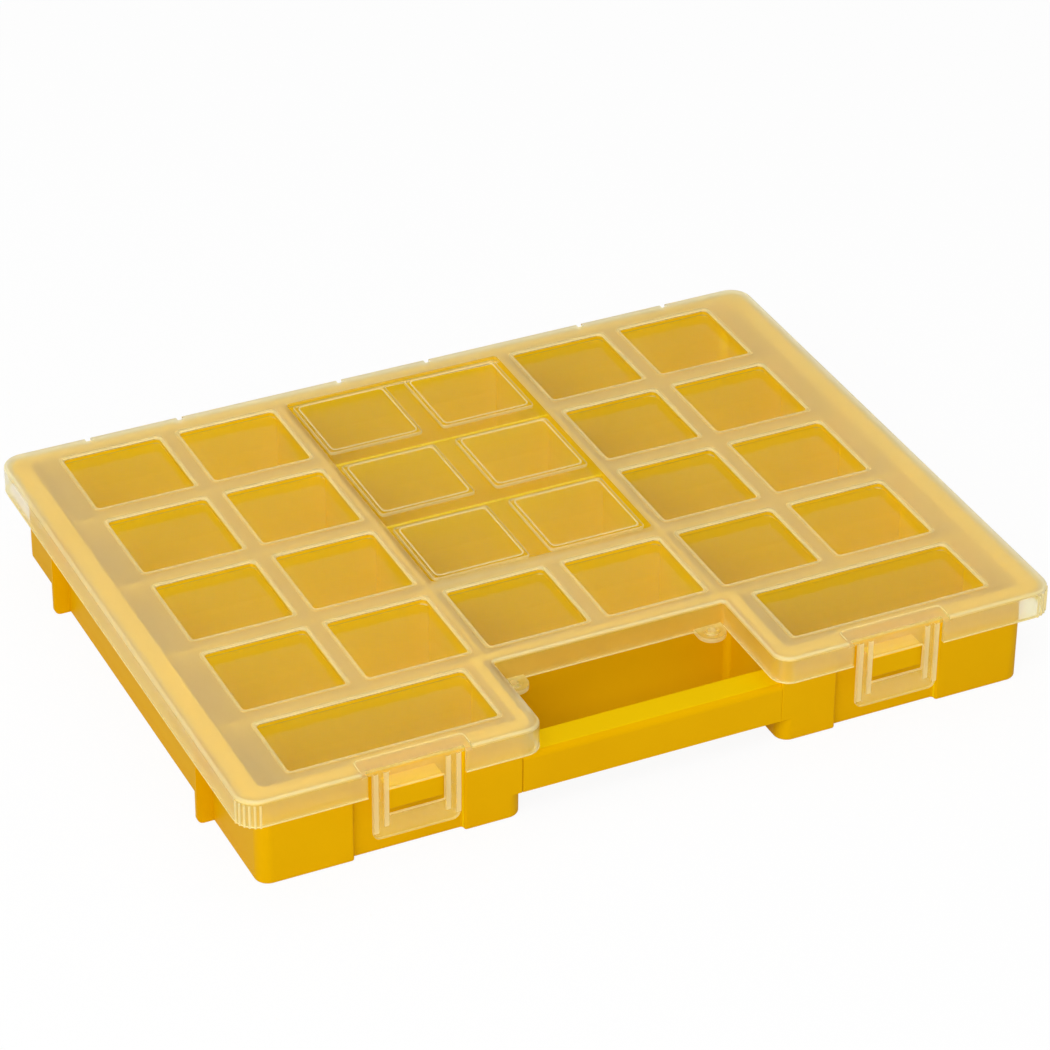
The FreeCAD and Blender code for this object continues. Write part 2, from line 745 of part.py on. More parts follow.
def make_latch(name, sign):
    """Framed flap with stiffening ribs, hung from a roll along its upper edge."""
    latch = add_body(f"latch_{name}")
    middle = latch_side * sign
    half = size("latch_width") / 2
    bottom = latch_bottom
    plate_front = lid_front + size("latch_rib_height")
    plate_back = plate_front + size("latch_plate")
    plate = add_sketch(latch, f"latch_plate_{name}", "XZ_Plane", -plate_back)
    corner = size("latch_corner")
    add_loop(plate, [
        (middle - half, bottom, corner),
        (middle + half, bottom, corner),
        (middle + half, roll_height, None),
        (middle - half, roll_height, None),
    ])
    extrude(latch, "Pad", plate, size("latch_plate"))
    window = add_sketch(latch, f"latch_window_{name}", "XZ_Plane", -plate_back)
    half_window = size("latch_window_width") / 2
    add_rectangle(window, middle - half_window, middle + half_window, latch_window_bottom,
                  latch_window_top, size("latch_window_corner"))
    extrude(latch, "Pocket", window, size("latch_plate"), backwards=True)
    ribs = add_sketch(latch, f"latch_ribs_{name}", "XZ_Plane", -plate_front)
    width = size("latch_rib_width")
    for end in (-1, 1):
        inner_middle = middle + (half_window + size("latch_rib_gap") + width / 2) * end
        add_rectangle(ribs, inner_middle - width / 2, inner_middle + width / 2,
                      bottom + size("latch_inner_rib_rise"), roll_height)
        outer_middle = middle + (half - width / 2) * end
        add_rectangle(ribs, outer_middle - width / 2, outer_middle + width / 2,
                      bottom + size("latch_outer_rib_rise"), roll_height)
    extrude(latch, "Pad", ribs, size("latch_rib_height"))
    roll_length = latch_gap_width - size("roll_gap") * 2
    roll = add_sketch(latch, f"latch_roll_{name}", "YZ_Plane", middle - roll_length / 2)
    add_circle(roll, plate_front + size("roll_radius"), roll_height, size("roll_radius"))
    extrude(latch, "Pad", roll, roll_length)
    return latch


def make_keeper(name, sign):
    """Block on the wall of a latch recess that shows through the latch's window."""
    middle = latch_side * sign
    slack = size("keeper_slack")
    half = size("latch_window_width") / 2 - slack
    plate_back = lid_front + size("latch_rib_height") + size("latch_plate")
    block = add_box(
        f"keeper_block_{name}",
        (middle - half, plate_back + size("keeper_gap"), latch_window_bottom + slack),
        (middle + half, recess_front, latch_window_top - slack),
    )
    doc.recompute()
    keeper = doc.addObject("Part::Chamfer", f"latch_keeper_{name}")
    keeper.Label = f"latch_keeper_{name}"
    keeper.Base = block
    front = block.Shape.BoundBox.YMin
    leads = [
        i for i, edge in enumerate(block.Shape.Edges, start=1)
        if abs(edge.CenterOfMass.y - front) < SAME_PLACE and edge.BoundBox.XLength > half.number
    ]
    chamfer = size("keeper_chamfer").number
    keeper.Edges = [(i, chamfer, chamfer) for i in leads]
    return keeper


def make_eyelet(name, sign):
    """Half-round tab with a collared hole on the skirt beside the handle cut-out."""
    eyelet = add_body(f"eyelet_{name}")
    half = size("eyelet_half_width")
    middle = (lid_notch_side - size("lid_notch_inner_round") - half) * sign
    tip_round = half - size("eyelet_flat")
    tip = lid_notch_back - size("eyelet_reach")
    tab = add_sketch(eyelet, f"eyelet_tab_{name}", "XY_Plane", skirt_bottom)
    add_loop(tab, [
        (middle - half, tip, tip_round),
        (middle + half, tip, tip_round),
        (middle + half, lid_notch_back, None),
        (middle - half, lid_notch_back, None),
    ])
    extrude(eyelet, "Pad", tab, size("eyelet_thickness"))
    hole_place = lid_notch_back - size("eyelet_hole_reach")
    collar = add_sketch(eyelet, f"eyelet_collar_{name}", "XY_Plane", skirt_bottom + size("eyelet_thickness"))
    add_circle(collar, middle, hole_place, size("eyelet_collar_radius"))
    extrude(eyelet, "Pad", collar, size("eyelet_collar_height"))
    hole = add_sketch(eyelet, f"eyelet_hole_{name}", "XY_Plane", skirt_bottom)
    add_circle(hole, middle, hole_place, size("eyelet_hole_radius"))
    extrude(eyelet, "Pocket", hole, size("eyelet_thickness") + size("eyelet_collar_height"), backwards=True)
    return eyelet


pieces = [make_tray()]
pieces += make_partitions()
pieces.append(make_handle())
pieces += make_hinges()
pieces.append(make_lid())
for side_name, side_sign in SIDES:
    pieces.append(make_latch(side_name, side_sign))
    pieces.append(make_keeper(side_name, side_sign))
    pieces.append(make_eyelet(side_name, side_sign))
doc.recompute()

for item in doc.Objects:
    if "Invalid" in item.State or "Error" in item.State:
        raise RuntimeError(f"{item.Label} failed: {item.State}")
for piece in pieces:
    if piece.Shape.isNull() or not piece.Shape.isValid():
        raise RuntimeError(f"{piece.Label} has no valid shape")

os.makedirs("parts", exist_ok=True)
for piece in pieces:
    piece.Shape.exportStep(f"parts/{piece.Label}.step")
    print(f"{piece.Label}: {len(piece.Shape.Solids)} solid, {piece.Shape.Volume:.1f} mm3")
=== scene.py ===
"""Looks of a flat compartment case: yellow tray and handle, translucent hinged lid, latches."""
import json
import math

import bmesh
import bpy
from mathutils import Matrix, Vector


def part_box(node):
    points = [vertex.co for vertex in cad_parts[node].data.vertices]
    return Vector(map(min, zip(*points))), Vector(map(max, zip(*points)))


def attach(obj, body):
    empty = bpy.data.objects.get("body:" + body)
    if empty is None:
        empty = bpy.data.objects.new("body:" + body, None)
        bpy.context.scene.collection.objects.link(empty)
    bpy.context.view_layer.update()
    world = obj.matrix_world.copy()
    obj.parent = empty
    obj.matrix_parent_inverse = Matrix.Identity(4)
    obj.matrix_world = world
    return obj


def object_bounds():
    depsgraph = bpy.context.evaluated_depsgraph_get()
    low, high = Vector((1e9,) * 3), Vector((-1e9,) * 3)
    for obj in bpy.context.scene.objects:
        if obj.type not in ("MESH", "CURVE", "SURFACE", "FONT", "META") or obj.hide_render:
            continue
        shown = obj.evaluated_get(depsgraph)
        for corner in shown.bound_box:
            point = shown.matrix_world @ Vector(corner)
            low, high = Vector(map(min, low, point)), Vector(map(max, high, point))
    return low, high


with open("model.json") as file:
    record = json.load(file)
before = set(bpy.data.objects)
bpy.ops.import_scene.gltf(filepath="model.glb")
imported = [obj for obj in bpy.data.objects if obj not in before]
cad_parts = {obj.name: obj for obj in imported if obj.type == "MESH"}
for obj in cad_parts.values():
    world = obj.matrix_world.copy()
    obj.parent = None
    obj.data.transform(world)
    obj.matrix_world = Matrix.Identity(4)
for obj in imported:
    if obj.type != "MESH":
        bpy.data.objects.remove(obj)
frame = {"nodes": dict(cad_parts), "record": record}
cad_low, cad_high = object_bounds()


# Tray: floor, outer walls, rim, latch recesses and side ribs.
# Polypropylene coloured through with a warm yellow pigment and injection moulded.
# The walls, handle, keepers and hinge eyes below are parts of the same moulding.
MM = 0.001
TRAY_SIDE = 175.4 * MM
TRAY_FRONT, TRAY_BACK = -134.5 * MM, 136.5 * MM
NOTCH_SIDE, NOTCH_BACK = 59.4 * MM, -87.0 * MM
WALL_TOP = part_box("column_wall_left")[1].z
SKIRT_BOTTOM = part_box("eyelet_left")[0].z
POLYPROPYLENE_IOR = 1.49
# Sockets of a colour mix: its two colours and its result.
COLOUR_A, COLOUR_B, COLOUR_RESULT = 6, 7, 2
# Distance in front of a face at which it is tested what the face looks into.
STEP_AHEAD = 4 * MM


def linear(colour):
    """Linear red, green, blue and alpha of an sRGB hex colour."""
    channels = [int(colour[i:i + 2], 16) / 255 for i in (1, 3, 5)]
    return [c / 12.92 if c <= 0.04045 else ((c + 0.055) / 1.055) ** 2.4 for c in channels] + [1.0]


def add_node(material, kind, values=None, links=(), **settings):
    """One node with its settings, its socket values and its (socket, source node, output) links."""
    node = material.node_tree.nodes.new(kind)
    for name, value in settings.items():
        setattr(node, name, value)
    for socket, value in (values or {}).items():
        node.inputs[socket].default_value = value
    for socket, source, output in links:
        material.node_tree.links.new(source.outputs[output], node.inputs[socket])
    return node


def new_material(name):
    """Empty material, ready for nodes."""
    material = bpy.data.materials.new(name)
    material.use_nodes = True
    material.node_tree.nodes.clear()
    return material


def dress(node_name, *materials, pick=None):
    """Give a CAD node these materials, and each face the one whose number pick(face) gives."""
    mesh = frame["nodes"][node_name].data
    mesh.materials.clear()
    for material in materials:
        mesh.materials.append(material)
    for face in mesh.polygons:
        face.material_index = int(pick(face)) if pick else 0


# Satin moulded polypropylene: even colour with faint flow clouds, a soft highlight
# and the fine grain of a spark-eroded mould. The real grain of 0.15 mm is too fine to
# show, so it is drawn at 0.7 mm.
def moulded_yellow(name, yellow_deep, yellow_light):
    highlight = "#FFD873"
    sheen = 0.03
    cloud_size = 55 * MM
    grain_size = 0.7 * MM
    grain_height = 0.03 * MM
    grain_strength = 0.12
    glossiest, dullest = 0.42, 0.52
    material = new_material(name)
    place = add_node(material, "ShaderNodeTexCoord")
    clouds = add_node(material, "ShaderNodeTexNoise", {"Scale": 1 / cloud_size, "Detail": 3.0},
                      [("Vector", place, "Object")])
    colour = add_node(material, "ShaderNodeMix",
                      {COLOUR_A: linear(yellow_deep), COLOUR_B: linear(yellow_light)},
                      [("Factor", clouds, "Fac")], data_type="RGBA")
    grain = add_node(material, "ShaderNodeTexNoise", {"Scale": 1 / grain_size, "Detail": 2.0},
                     [("Vector", place, "Object")])
    gloss = add_node(material, "ShaderNodeMapRange", {"To Min": glossiest, "To Max": dullest},
                     [("Value", clouds, "Fac")])
    relief = add_node(material, "ShaderNodeBump",
                      {"Strength": grain_strength, "Distance": grain_height},
                      [("Height", grain, "Fac")])
    shader = add_node(material, "ShaderNodeBsdfPrincipled",
                      {"IOR": POLYPROPYLENE_IOR, "Specular IOR Level": sheen,
                       "Specular Tint": linear(highlight)},
                      [("Base Color", colour, COLOUR_RESULT), ("Roughness", gloss, "Result"),
                       ("Normal", relief, "Normal")])
    add_node(material, "ShaderNodeOutputMaterial", links=[("Surface", shader, "BSDF")])
    return material


def faces_cell(face):
    """True on a face that looks into a compartment or lies under the lid's skirt."""
    ahead = face.center + face.normal * STEP_AHEAD
    in_notch = abs(ahead.x) < NOTCH_SIDE and ahead.y < NOTCH_BACK
    in_outline = abs(ahead.x) < TRAY_SIDE and TRAY_FRONT < ahead.y < TRAY_BACK
    looks_in = in_outline and not in_notch and cad_low.z < ahead.z < WALL_TOP
    return looks_in or face.center.z > SKIRT_BOTTOM


tray_plastic = moulded_yellow("moulded_polypropylene_yellow", "#D59E00", "#DEAA00")
# The cells and the rim are thin and lit from all sides; that light is painted in as a lighter
# yellow.
cell_painted_light = moulded_yellow("painted_light_polypropylene_yellow", "#E2C000", "#E9C80A")
dress("base_tray", tray_plastic, cell_painted_light, pick=faces_cell)


# Partition walls: two long ones from front to rear and short ones across.
# The tray's yellow polypropylene at its thinnest, moulded on the floor and against the sides,
# painted the cells' lighter yellow for the light they get.
for node in frame["record"]["behaviour"]["bodies"]["tray"]:
    if "_wall_" in node:
        dress(node, cell_painted_light)


# Carry handle and latch keepers: the bar across the notch, and the nose behind each latch.
# Moulded hollow with the tray, of the same yellow polypropylene.
FLAT = 0.97


def faces_up(face):
    """True on a top: its normal has more than the share FLAT along the height."""
    return face.normal.z > FLAT


# Light enters the hollow bars through their tops; that light is painted in, as tops a little
# lighter than the tray.
top_painted_light = moulded_yellow("top_painted_light_polypropylene_yellow", "#DCB200", "#E3BB00")
for node in ("carry_handle", "latch_keeper_left", "latch_keeper_right"):
    dress(node, tray_plastic, top_painted_light, pick=faces_up)


# Hinge eyes and rods: three pairs of eyes behind the tray's rear wall, each pair with a rod.
# Moulded with the tray, of the same yellow polypropylene. The lid turns on the rods.
for place in ("left", "centre", "right"):
    dress(f"hinge_lugs_{place}", tray_plastic)
    dress(f"hinge_rod_{place}", tray_plastic)


# Lid: a plate with a skirt, sunk windows and a polished centre panel.
# Unpigmented polypropylene: milky where the mould was grained, clear where it was polished.
# It hangs on the tray's rods by barrels moulded under its rear edge.
WINDOW_WIDTH, WINDOW_DEPTH = 45.2 * MM, 44.4 * MM
COLUMN_PITCH, ROW_PITCH = 54.7 * MM, 55.6 * MM
FIRST_ROW = 107.3 * MM
ROWS = 4
COLUMNS_PER_HALF = 3
# Wide window of the right half: its middle, width and depth.
WIDE_WINDOW = (113.3 * MM, -110.4 * MM, 91.5 * MM, 35.4 * MM)
# The centre panel goes a little beyond the plateaus that stand in it.
PANEL_ROWS = 3
PANEL_MARGIN = 2.2 * MM
PANEL_SIDE = COLUMN_PITCH / 2 + WINDOW_WIDTH / 2 + PANEL_MARGIN
PANEL_REAR = FIRST_ROW + WINDOW_DEPTH / 2 + PANEL_MARGIN
PANEL_FRONT = FIRST_ROW - ROW_PITCH * (PANEL_ROWS - 1) - WINDOW_DEPTH / 2 - PANEL_MARGIN
# A face this close to an edge counts as lying on it.
EDGE_BAND = 0.1 * MM
# A face is upright when its normal has less than this share along the height.
UPRIGHT = 0.05


def pass_light(piece):
    """Milky plastic lets most light through, so it casts no hard shadow on what is under it."""
    piece.visible_shadow = False


# Frosted natural polypropylene: light passes but scatters, so things close under it show
# as soft colour and things deep below only as a tint. The mould's grain of about 0.2 mm is
# drawn at 0.8 mm so that it shows.
# Its milk colours are cream: partly the plastic's own tint, partly painted yellow light from the
# tray under it.
def frosted_polypropylene(name, cover, clearness, roughness, sheen=0.3,
                          milk="#F5E8B0", milk_warm="#F0E09C"):
    cloud_size = 40 * MM
    grain_size = 0.8 * MM
    grain_height = 0.03 * MM
    grain_strength = 0.15
    gloss_change = 0.04
    material = new_material(name)
    place = add_node(material, "ShaderNodeTexCoord")
    clouds = add_node(material, "ShaderNodeTexNoise", {"Scale": 1 / cloud_size, "Detail": 2.0},
                      [("Vector", place, "Object")])
    colour = add_node(material, "ShaderNodeMix",
                      {COLOUR_A: linear(milk), COLOUR_B: linear(milk_warm)},
                      [("Factor", clouds, "Fac")], data_type="RGBA")
    grain = add_node(material, "ShaderNodeTexNoise", {"Scale": 1 / grain_size, "Detail": 2.0},
                     [("Vector", place, "Object")])
    gloss = add_node(material, "ShaderNodeMapRange",
                     {"To Min": roughness - gloss_change, "To Max": roughness + gloss_change},
                     [("Value", clouds, "Fac")])
    relief = add_node(material, "ShaderNodeBump",
                      {"Strength": grain_strength, "Distance": grain_height},
                      [("Height", grain, "Fac")])
    shader = add_node(material, "ShaderNodeBsdfPrincipled",
                      {"IOR": POLYPROPYLENE_IOR, "Specular IOR Level": sheen,
                       "Transmission Weight": clearness, "Alpha": cover},
                      [("Base Color", colour, COLOUR_RESULT), ("Roughness", gloss, "Result"),
                       ("Normal", relief, "Normal")])
    add_node(material, "ShaderNodeOutputMaterial", links=[("Surface", shader, "BSDF")])
    return material


# Polished natural polypropylene: nearly clear, with a faint haze and slow waves of the
# polished mould, about 12 mm from crest to crest. The IOR is a little under the plastic's
# own, so that the panes bend the view as little as thin ones do.
def polished_polypropylene():
    clear = "#FBF8F0"
    cover = 0.1
    pane_ior = 1.45
    wave_size = 12 * MM
    wave_height = 0.1 * MM
    wave_strength = 0.1
    glossiest, dullest = 0.05, 0.12
    material = new_material("polished_polypropylene_clear")
    place = add_node(material, "ShaderNodeTexCoord")
    waves = add_node(material, "ShaderNodeTexNoise", {"Scale": 1 / wave_size, "Detail": 1.0},
                     [("Vector", place, "Object")])
    gloss = add_node(material, "ShaderNodeMapRange", {"To Min": glossiest, "To Max": dullest},
                     [("Value", waves, "Fac")])
    relief = add_node(material, "ShaderNodeBump",
                      {"Strength": wave_strength, "Distance": wave_height},
                      [("Height", waves, "Fac")])
    shader = add_node(material, "ShaderNodeBsdfPrincipled",
                      {"IOR": pane_ior, "Transmission Weight": 1.0, "Alpha": cover,
                       "Base Color": linear(clear)},
                      [("Roughness", gloss, "Result"), ("Normal", relief, "Normal")])
    add_node(material, "ShaderNodeOutputMaterial", links=[("Surface", shader, "BSDF")])
    return material


def window_place(row, column):
    """Middle of a window on the right half, with rows counted from the rear, columns from x = 0."""
    return COLUMN_PITCH * (column + 0.5), FIRST_ROW - ROW_PITCH * row


def in_rectangle(point, x, y, width, depth):
    """True inside a rectangle or on its edge, on either half of the lid."""
    across = abs(abs(point.x) - x)
    along = abs(point.y - y)
    return across < width / 2 + EDGE_BAND and along < depth / 2 + EDGE_BAND


def is_polished(point):
    """True in a window and all over the centre panel."""
    if abs(point.x) < PANEL_SIDE and PANEL_FRONT < point.y < PANEL_REAR:
        return True
    for row in range(ROWS):
        for column in range(COLUMNS_PER_HALF):
            if in_rectangle(point, *window_place(row, column), WINDOW_WIDTH, WINDOW_DEPTH):
                return True
    return in_rectangle(point, *WIDE_WINDOW)


def is_plateau(point):
    """True on a raised plateau of the centre panel, its upright sides included."""
    return any(in_rectangle(point, *window_place(row, 0), WINDOW_WIDTH, WINDOW_DEPTH)
               for row in range(PANEL_ROWS))


def is_edge(face):
    """True on a rounded rim, on a plateau's upright side and on the underside of the skirt."""
    rounded = max(abs(n) for n in face.normal) < FLAT and abs(face.normal.z) > UPRIGHT
    plateau_side = abs(face.normal.z) < UPRIGHT and is_plateau(face.center)
    lower_edge = face.normal.z < -FLAT and face.center.z < SKIRT_BOTTOM + EDGE_BAND
    return rounded or plateau_side or lower_edge


FROSTED, CLEAR, EDGE, SMOOTH, SIDE = range(5)


def lid_finish(face):
    """Number of the finish that a face of the lid has."""
    upright = abs(face.normal.z) < UPRIGHT
    if is_edge(face):
        return EDGE
    if is_polished(face.center):
        return SIDE if upright else CLEAR
    return SMOOTH if upright else FROSTED


lid_frosted = frosted_polypropylene("frosted_polypropylene_natural",
                                    cover=0.85, clearness=0.86, roughness=0.5)
lid_clear = polished_polypropylene()
# The rounded rims and thin edges gather light along the plastic; this is painted in as a paler
# finish, a painted highlight.
lid_edge_highlight = frosted_polypropylene("rounded_edge_painted_highlight",
                                 cover=0.85, clearness=0.45, roughness=0.35)
# The smooth skirt stands close to the tray, whose yellow shines through it; its lemon tint is
# partly that light and partly painted into its milk colour.
LEMON_PAINTED_SHINE, LEMON_PAINTED_SHINE_WARM = "#FFF286", "#FBEA74"
lid_smooth = frosted_polypropylene("smooth_polypropylene_natural",
                                   cover=0.4, clearness=0.72, roughness=0.3, sheen=0.06,
                                   milk=LEMON_PAINTED_SHINE, milk_warm=LEMON_PAINTED_SHINE_WARM)
# The upright sides of the sunk windows carry the tray's colour up; that light is painted in as a
# deep yellow.
lid_side_painted_light = frosted_polypropylene("side_painted_yellow_light",
                                 cover=0.75, clearness=0.3, roughness=0.3, sheen=0.1,
                                 milk="#F2C800", milk_warm="#EDC000")
dress("lid", lid_frosted, lid_clear, lid_edge_highlight, lid_smooth, lid_side_painted_light, pick=lid_finish)
pass_light(frame["nodes"]["lid"])


# Eyelets: holed tabs at the rear corners of the lid's notch, for a hook or tag.
# Moulded with the lid's skirt, of the same natural polypropylene.
def is_rim(face):
    """True on the outer edge of a tab and inside its hole."""
    return abs(face.normal.z) < FLAT


for eyelet in ("eyelet_left", "eyelet_right"):
    # The tabs' rims and holes get the paler finish of a painted highlight, and their faces the
    # skirt's painted lemon.
    dress(eyelet, lid_smooth, lid_edge_highlight, pick=is_rim)
    pass_light(frame["nodes"][eyelet])


# Grip flutes on the lid's two front corners, of the lid's own plastic.
# Fine upright ribs moulded on the outside of the skirt, from its lower edge nearly to the top.
FLUTES = 6
FLUTE_RADIUS = 0.5 * MM
FLUTE_STEPS = 8
FLUTE_FROM, FLUTE_TO = math.radians(14), math.radians(78)
FLUTE_TOP = cad_high.z - 2.0 * MM
LID_CORNER = 10 * MM
UP = Vector((0, 0, 1))


def half_round(side, lift, half_width, rise, steps):
    """Offsets over a rounded ridge, from one foot to the other."""
    angles = [math.pi * step / steps for step in range(steps + 1)]
    return [side * (half_width * math.cos(angle)) + lift * (rise * math.sin(angle))
            for angle in angles]


def skin(shape, rings, closed=False):
    """Faces from ring to ring along a ridge, and over its two ends unless it runs round."""
    for index in range(0 if closed else 1, len(rings)):
        ring, before = rings[index], rings[index - 1]
        for step in range(len(ring)):
            shape.faces.new((before[step - 1], before[step], ring[step], ring[step - 1]))
    if not closed:
        shape.faces.new(rings[0])
        shape.faces.new(rings[-1])


def add_moulded(name, shape, material):
    """Put finished ridges on the lid, as one piece that turns with it."""
    bmesh.ops.recalc_face_normals(shape, faces=shape.faces)
    mesh = bpy.data.meshes.new(name)
    shape.to_mesh(mesh)
    shape.free()
    mesh.materials.append(material)
    piece = bpy.data.objects.new(name, mesh)
    bpy.context.scene.collection.objects.link(piece)
    pass_light(piece)
    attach(piece, "lid")


for side, sign in (("left", -1), ("right", 1)):
    corner = Vector((sign * (cad_high.x - LID_CORNER), cad_low.y + LID_CORNER, 0))
    flute_shape = bmesh.new()
    for index in range(FLUTES):
        turn = FLUTE_FROM + (FLUTE_TO - FLUTE_FROM) * index / (FLUTES - 1)
        outward = Vector((sign * math.cos(turn), -math.sin(turn), 0))
        foot = corner + outward * LID_CORNER
        offsets = half_round(UP.cross(outward), outward, FLUTE_RADIUS, FLUTE_RADIUS, FLUTE_STEPS)
        rings = [[flute_shape.verts.new(foot + offset + UP * height) for offset in offsets]
                 for height in (SKIRT_BOTTOM, FLUTE_TOP)]
        skin(flute_shape, rings)
    # The flutes get the paler finish of the rims, a painted highlight.
    add_moulded(f"corner_flutes_{side}", flute_shape, lid_edge_highlight)


# Lips and lines raised on the lid, of the lid's own plastic.
# A low soft lip rounds off each window's rim. Fine lines run on each plateau a little inside
# its edge, round the pocket over each latch and along the lower edge of the skirt.
LIP_OUTSET, LIP_HALF_WIDTH, LIP_RISE = 1.0 * MM, 0.8 * MM, 0.17 * MM
LINE_INSET, LINE_HALF_WIDTH, LINE_RISE = 2.0 * MM, 0.35 * MM, 0.3 * MM
LINE_HEIGHT = SKIRT_BOTTOM + LINE_HALF_WIDTH
BEAD_SINK = 0.05 * MM
BEAD_CORNER = 2.4 * MM
BEAD_STEPS = 6
LID_TOP = cad_high.z
LID_FRONT, LID_SIDE = cad_low.y, cad_high.x
PLATEAU_TOP = LID_TOP - 0.4 * MM
LATCH_MIDDLE = 109.8 * MM
LATCH_GAP = 43.0 * MM
GAP_IN, GAP_OUT = LATCH_MIDDLE - LATCH_GAP / 2, LATCH_MIDDLE + LATCH_GAP / 2
POCKET_WIDTH, POCKET_DEPTH = 48.0 * MM, 9.5 * MM
POCKET_IN, POCKET_OUT = LATCH_MIDDLE - POCKET_WIDTH / 2, LATCH_MIDDLE + POCKET_WIDTH / 2
POCKET_BACK = LID_FRONT + POCKET_DEPTH
LID_NOTCH_SIDE, LID_NOTCH_BACK = 53.3 * MM, -92.2 * MM
MOUTH_ROUND = 8 * MM
SIDE_LINE_BACK = 130 * MM
AHEAD, ASIDE = Vector((0, -1, 0)), Vector((1, 0, 0))


def arc(x, y, height, radius, start, stop):
    """Points round a corner with the directions that point out of it, angles in degrees."""
    points = []
    for step in range(BEAD_STEPS + 1):
        turn = math.radians(start + (stop - start) * step / BEAD_STEPS)
        outward = Vector((math.cos(turn), math.sin(turn), 0))
        points.append((Vector((x, y, height)) + outward * radius, outward))
    return points


def rounded_rectangle(x, y, height, width, depth):
    """Points all round a rectangle with rounded corners."""
    across = width / 2 - BEAD_CORNER
    along = depth / 2 - BEAD_CORNER
    return (arc(x + across, y + along, height, BEAD_CORNER, 0, 90)
            + arc(x - across, y + along, height, BEAD_CORNER, 90, 180)
            + arc(x - across, y - along, height, BEAD_CORNER, 180, 270)
            + arc(x + across, y - along, height, BEAD_CORNER, 270, 360))


def mirrored(path, sign):
    """A path drawn for the right half, or its mirror image on the left half."""
    flip = Matrix.Diagonal((sign, 1, 1))
    return [(flip @ spot, flip @ outward) for spot, outward in path]


def add_bead(shape, path, half_width, rise, on_skirt=False, closed=False):
    """One rounded line along a path, lying on the lid's top or standing out from its skirt."""
    rings = []
    for spot, outward in path:
        side, lift = (UP, outward) if on_skirt else (outward, UP)
        foot = spot - lift * BEAD_SINK
        offsets = half_round(side, lift, half_width, rise, BEAD_STEPS)
        rings.append([shape.verts.new(foot + offset) for offset in offsets])
    skin(shape, rings, closed)


lip_shape = bmesh.new()
line_shape = bmesh.new()


def add_lip(x, y, width, depth):
    """The lip round one window."""
    outline = rounded_rectangle(x, y, LID_TOP, width + 2 * LIP_OUTSET, depth + 2 * LIP_OUTSET)
    add_bead(lip_shape, outline, LIP_HALF_WIDTH, LIP_RISE, closed=True)


def add_line(path, **kind):
    """One fine line along a path."""
    add_bead(line_shape, path, LINE_HALF_WIDTH, LINE_RISE, **kind)


pocket = ([(Vector((POCKET_OUT, LID_FRONT + BEAD_CORNER, LID_TOP)), ASIDE)]
          + arc(POCKET_OUT - BEAD_CORNER, POCKET_BACK - BEAD_CORNER, LID_TOP, BEAD_CORNER, 0, 90)
          + arc(POCKET_IN + BEAD_CORNER, POCKET_BACK - BEAD_CORNER, LID_TOP, BEAD_CORNER, 90, 180)
          + [(Vector((POCKET_IN, LID_FRONT + BEAD_CORNER, LID_TOP)), -ASIDE)])
corner_line = ([(Vector((GAP_OUT, LID_FRONT, LINE_HEIGHT)), AHEAD)]
               + arc(LID_SIDE - LID_CORNER, LID_FRONT + LID_CORNER, LINE_HEIGHT,
                     LID_CORNER, 270, 360)
               + [(Vector((LID_SIDE, SIDE_LINE_BACK, LINE_HEIGHT)), ASIDE)])
notch_line = ([(Vector((GAP_IN, LID_FRONT, LINE_HEIGHT)), AHEAD)]
              + arc(LID_NOTCH_SIDE + MOUTH_ROUND, LID_FRONT + MOUTH_ROUND, LINE_HEIGHT,
                    MOUTH_ROUND, 270, 180)
              + [(Vector((LID_NOTCH_SIDE, LID_NOTCH_BACK, LINE_HEIGHT)),
                  (AHEAD - ASIDE).normalized()),
                 (Vector((0, LID_NOTCH_BACK, LINE_HEIGHT)), AHEAD)])
wide_x, wide_y, wide_width, wide_depth = WIDE_WINDOW
for sign in (-1, 1):
    for row in range(ROWS):
        for column in range(COLUMNS_PER_HALF):
            x, y = window_place(row, column)
            if row < PANEL_ROWS and column == 0:
                add_line(rounded_rectangle(sign * x, y, PLATEAU_TOP, WINDOW_WIDTH - 2 * LINE_INSET,
                                           WINDOW_DEPTH - 2 * LINE_INSET), closed=True)
            else:
                add_lip(sign * x, y, WINDOW_WIDTH, WINDOW_DEPTH)
    add_lip(sign * wide_x, wide_y, wide_width, wide_depth)
    add_line(mirrored(pocket, sign))
    add_line(mirrored(corner_line, sign), on_skirt=True)
    add_line(mirrored(notch_line, sign), on_skirt=True)
# The lips are thin and low, and get a painted highlight only a little paler than the frosting
# beside them.
lid_lip_highlight = frosted_polypropylene("lip_painted_highlight", cover=0.5, clearness=0.55, roughness=0.45)
add_moulded("window_lips", lip_shape, lid_lip_highlight)
# The lines get the paler finish of the rims, a painted highlight.
add_moulded("moulded_lines", line_shape, lid_edge_highlight)


# Latches: ribbed flaps with a window for the keeper, hung on the lid's front edge.
# The same natural polypropylene as the lid's skirt but thinner; its ribs and edges are painted
# paler, a painted highlight.
# A rib is what stands out at the latch's front or turns aside, below the roll at its top.
ROLL_BOTTOM = 43.5 * MM
RIB_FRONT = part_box("latch_left")[0].y + EDGE_BAND


def is_rib(face):
    """True on a rib or an edge of a latch."""
    stands_out = face.center.y < RIB_FRONT or abs(face.normal.y) < FLAT
    return stands_out and face.center.z < ROLL_BOTTOM


# A thin plate: the yellow behind it shows through with only a slight haze; the lemon of that haze
# is painted light of the yellow.
latch_thin = frosted_polypropylene("thin_polypropylene_natural",
                                   cover=0.3, clearness=0.6, roughness=0.3, sheen=0.06,
                                   milk=LEMON_PAINTED_SHINE, milk_warm=LEMON_PAINTED_SHINE_WARM)
for latch in ("latch_left", "latch_right"):
    dress(latch, latch_thin, lid_edge_highlight, pick=is_rib)
    pass_light(frame["nodes"][latch])


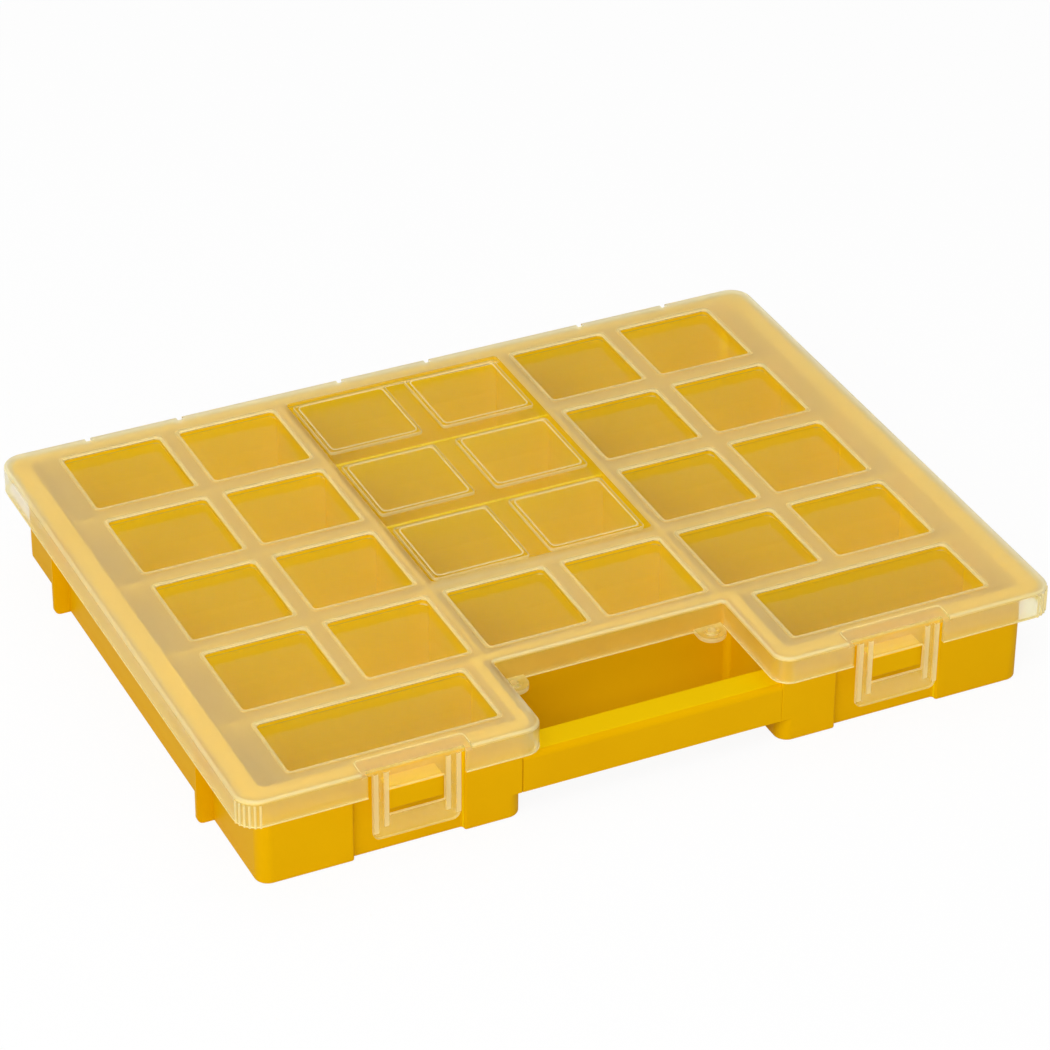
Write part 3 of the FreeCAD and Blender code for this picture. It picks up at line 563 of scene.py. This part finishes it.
# Camera: stands where the photograph was taken from, which was found by fitting
# the lid's outline, and has the focal length that came out of the same fit.
PHOTO_SIZE = 1050
FOCAL_PIXELS = 4283.56
SENSOR_WIDTH = 36.0
CAMERA_AZIMUTH = math.radians(-25.593)
CAMERA_ELEVATION = math.radians(32.662)
CAMERA_ROLL = math.radians(0.451)
CAMERA_DISTANCE = 1933.3 * MM
CAMERA_TARGET = Vector((35.107, 63.201, 0)) * MM

back = Vector((
    math.sin(CAMERA_AZIMUTH) * math.cos(CAMERA_ELEVATION),
    -math.cos(CAMERA_AZIMUTH) * math.cos(CAMERA_ELEVATION),
    math.sin(CAMERA_ELEVATION),
))
level = Vector((math.cos(CAMERA_AZIMUTH), math.sin(CAMERA_AZIMUTH), 0))
upward = back.cross(level)
right = level * math.cos(CAMERA_ROLL) + upward * math.sin(CAMERA_ROLL)
upward = upward * math.cos(CAMERA_ROLL) - level * math.sin(CAMERA_ROLL)
lens = bpy.data.cameras.new("camera")
lens.sensor_width = SENSOR_WIDTH
lens.lens = SENSOR_WIDTH * FOCAL_PIXELS / PHOTO_SIZE
camera = bpy.data.objects.new("camera", lens)
camera.matrix_world = Matrix((right, upward, back)).transposed().to_4x4()
camera.location = CAMERA_TARGET + back * CAMERA_DISTANCE
bpy.context.scene.collection.objects.link(camera)
bpy.context.scene.camera = camera


# Studio: a pale floor of matt paper, an even white surround and two large soft boxes,
# one high above the case and one at its front left.
FLOOR_SIZE = 8.0
FLOOR_GAP = 0.2 * MM
FLOOR_COLOUR = "#EEEEEE"
FLOOR_GLOW = 0.92
SURROUND_COLOUR = "#FFFFFF"
SURROUND_LIGHT = 0.47
# Name, place in metres, side in metres and power in watts of each soft box.
SOFT_BOXES = (
    ("top_box", (0.3, 0.6, 2.2), 2.4, 10.0),
    ("front_box", (-1.2, -1.3, 1.75), 2.2, 49.0),
)


# Matt white paper: it keeps the soft shadow, and rays from the camera, gloss and glass see
# most of it as plain white.
def floor_paper():
    material = new_material("matt_white_paper")
    paper = add_node(material, "ShaderNodeBsdfDiffuse", {"Color": linear(FLOOR_COLOUR)})
    white = add_node(material, "ShaderNodeEmission",
                     {"Color": linear(SURROUND_COLOUR), "Strength": 1.0})
    path = add_node(material, "ShaderNodeLightPath")
    seen = add_node(material, "ShaderNodeMath", operation="MAXIMUM",
                    links=[(0, path, "Is Camera Ray"), (1, path, "Is Glossy Ray")])
    seen = add_node(material, "ShaderNodeMath", operation="MAXIMUM",
                    links=[(0, seen, "Value"), (1, path, "Is Transmission Ray")])
    share = add_node(material, "ShaderNodeMath", {1: FLOOR_GLOW}, [(0, seen, "Value")],
                     operation="MULTIPLY")
    mixed = add_node(material, "ShaderNodeMixShader",
                     links=[("Fac", share, "Value"), (1, paper, "BSDF"), (2, white, "Emission")])
    add_node(material, "ShaderNodeOutputMaterial", links=[("Surface", mixed, "Shader")])
    return material


floor_shape = bmesh.new()
bmesh.ops.create_grid(floor_shape, x_segments=1, y_segments=1, size=FLOOR_SIZE / 2)
floor_mesh = bpy.data.meshes.new("floor")
floor_shape.to_mesh(floor_mesh)
floor_shape.free()
floor_mesh.materials.append(floor_paper())
floor = bpy.data.objects.new("floor", floor_mesh)
floor.location.z = cad_low.z - FLOOR_GAP
bpy.context.scene.collection.objects.link(floor)

world = bpy.data.worlds.new("surround")
world.use_nodes = True
world.node_tree.nodes["Background"].inputs["Color"].default_value = linear(SURROUND_COLOUR)
world.node_tree.nodes["Background"].inputs["Strength"].default_value = SURROUND_LIGHT
bpy.context.scene.world = world

for name, place, side, power in SOFT_BOXES:
    light = bpy.data.lights.new(name, "AREA")
    light.size = side
    light.energy = power
    box = bpy.data.objects.new(name, light)
    box.location = place
    box.rotation_mode = "QUATERNION"
    box.rotation_quaternion = (-Vector(place)).to_track_quat("-Z", "Y")
    bpy.context.scene.collection.objects.link(box)

bpy.context.scene.view_settings.view_transform = "Standard"
